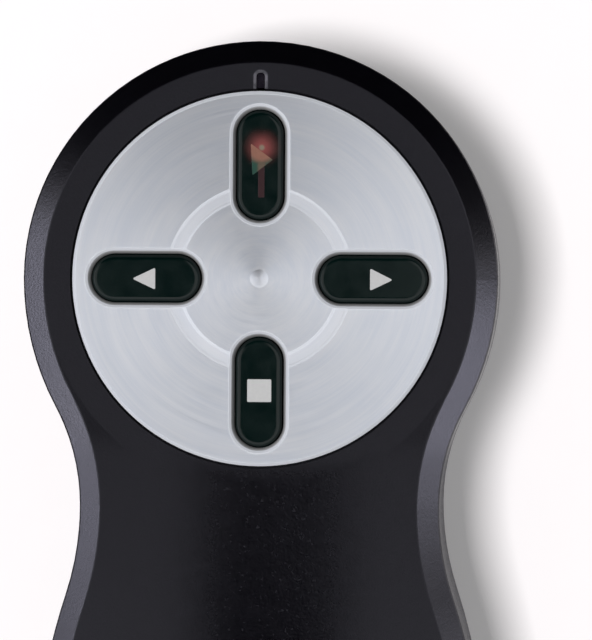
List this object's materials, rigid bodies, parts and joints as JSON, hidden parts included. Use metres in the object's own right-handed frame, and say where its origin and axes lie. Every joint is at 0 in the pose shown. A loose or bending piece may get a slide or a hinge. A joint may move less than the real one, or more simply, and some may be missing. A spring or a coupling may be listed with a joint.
{
  "type": "wireless presentation clicker",
  "caption": "Hand-held presentation clicker with a round metal faceplate, face buttons, laser, battery door and stored radio receiver.",
  "frame": {"origin": "middle of the flat back, under the middle of the case's length and width", "axes": "+X to the right of someone who looks at the face, +Y from the tail to the laser in the head, +Z out of the face"},
  "size_m": [0.042, 0.118, 0.0257],
  "materials": {
    "shell": "fine satin texture, black",
    "receiver_shell": "fine satin texture, black",
    "chassis": "satin, dark grey",
    "faceplate": "spun, clear anodised",
    "button": "satin gloss, smoked black",
    "switch": "satin black",
    "stem": "satin white",
    "board": "green solder mask",
    "chip": "moulded black",
    "crystal": "satin",
    "led": "clear",
    "indicator_lens": "smoked, glossy",
    "laser_brass": "turned",
    "laser_lens": "clear",
    "laser_window": "dark red, glossy",
    "cell": null,
    "contact": "nickel plated",
    "screw": "black zinc",
    "plug": "nickel plated",
    "blade": "moulded black",
    "finger": "gold plated",
    "capacitor": "fired ceramic with tinned ends"
  },
  "bodies": {
    "case": {"top_shell": "shell", "bottom_shell": "shell", "faceplate": "faceplate", "circuit_board": "board", "radio_chip": "chip", "crystal": "crystal", "capacitors": "capacitor", "indicator_led": "led", "indicator_lens": "indicator_lens", "laser_barrel": "laser_brass", "laser_lens": "laser_lens", "laser_window": "laser_window", "battery_chassis": "chassis", "battery_left": "cell", "battery_right": "cell", "contact_positive": "contact", "contact_negative": "contact", "contact_bridge": "contact", "spring_left": "contact", "spring_right": "contact", "case_screws": "screw", "switch_laser": "switch", "switch_forward": "switch", "switch_back": "switch", "switch_stop": "switch"},
    "battery_door": {"battery_door": "shell"},
    "receiver": {"receiver_body": "receiver_shell", "receiver_cap": "shell", "receiver_plug": "plug", "receiver_blade": "blade", "receiver_board": "board", "receiver_fingers": "finger"},
    "laser_button": {"button_laser": "button", "stem_laser": "stem"},
    "forward_button": {"button_forward": "button", "stem_forward": "stem"},
    "back_button": {"button_back": "button", "stem_back": "stem"},
    "stop_button": {"button_stop": "button", "stem_stop": "stem"}
  },
  "joints": [
    {"name": "laser_press", "type": "slide", "parent": "case", "child": "laser_button", "axis": [0, 0, -1], "range_m": [0, 0.0006], "stiffness_N_per_m": 3000},
    {"name": "forward_press", "type": "slide", "parent": "case", "child": "forward_button", "axis": [0, 0, -1], "range_m": [0, 0.0006], "stiffness_N_per_m": 3000},
    {"name": "back_press", "type": "slide", "parent": "case", "child": "back_button", "axis": [0, 0, -1], "range_m": [0, 0.0006], "stiffness_N_per_m": 3000},
    {"name": "stop_press", "type": "slide", "parent": "case", "child": "stop_button", "axis": [0, 0, -1], "range_m": [0, 0.0006], "stiffness_N_per_m": 3000},
    {"name": "receiver_slide", "type": "slide", "parent": "case", "child": "receiver", "axis": [0, -1, 0], "range_m": [0, 0.06]},
    {"name": "door_slide", "type": "slide", "parent": "case", "child": "battery_door", "axis": [0, -1, 0], "range_m": [0, 0.068]}
  ]
}
